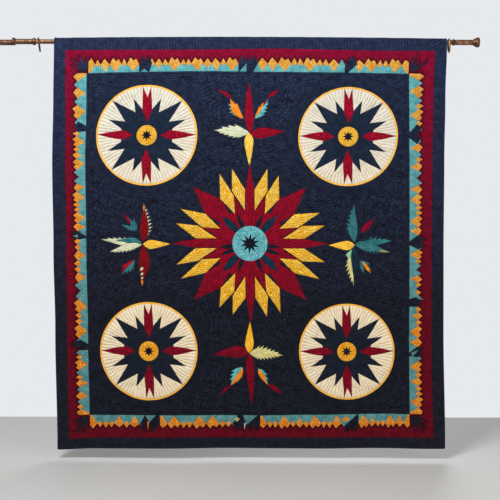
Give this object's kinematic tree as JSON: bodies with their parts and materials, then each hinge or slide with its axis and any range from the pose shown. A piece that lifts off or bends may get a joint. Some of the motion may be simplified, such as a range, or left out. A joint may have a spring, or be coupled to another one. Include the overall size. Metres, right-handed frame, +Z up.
{
  "type": "star quilt on a hanging rod",
  "caption": "Patchwork star quilt with compass medallions and a sawtooth border, hung by its turned-back top hem on a bronze curtain rod with end fittings.",
  "frame": {"origin": "on the rod's axis, above the middle of the quilt's width", "axes": "+X along the rod, to the right of someone who faces the quilt; +Y away from them, towards the wall; +Z up"},
  "size_m": [2.511, 0.0758, 2.1528],
  "materials": {
    "patchwork": "quilted cotton patchwork, matt navy ground with crimson, gold, teal and cream patches",
    "binding_cloth": "doubled navy cotton strip, matt",
    "bronze": "aged bronze, satin",
    "dark_bronze": "dark aged bronze, satin"
  },
  "bodies": {
    "root": {"quilt": "patchwork", "binding": "binding_cloth", "rod": "bronze", "sleeve_left": "bronze", "sleeve_right": "bronze", "pole_end_left": "bronze", "collar_left": "dark_bronze", "collar_right": "dark_bronze", "flange_left": "dark_bronze", "cap_right": "dark_bronze", "ring_left": "dark_bronze", "ring_right": "bronze"}
  },
  "joints": []
}
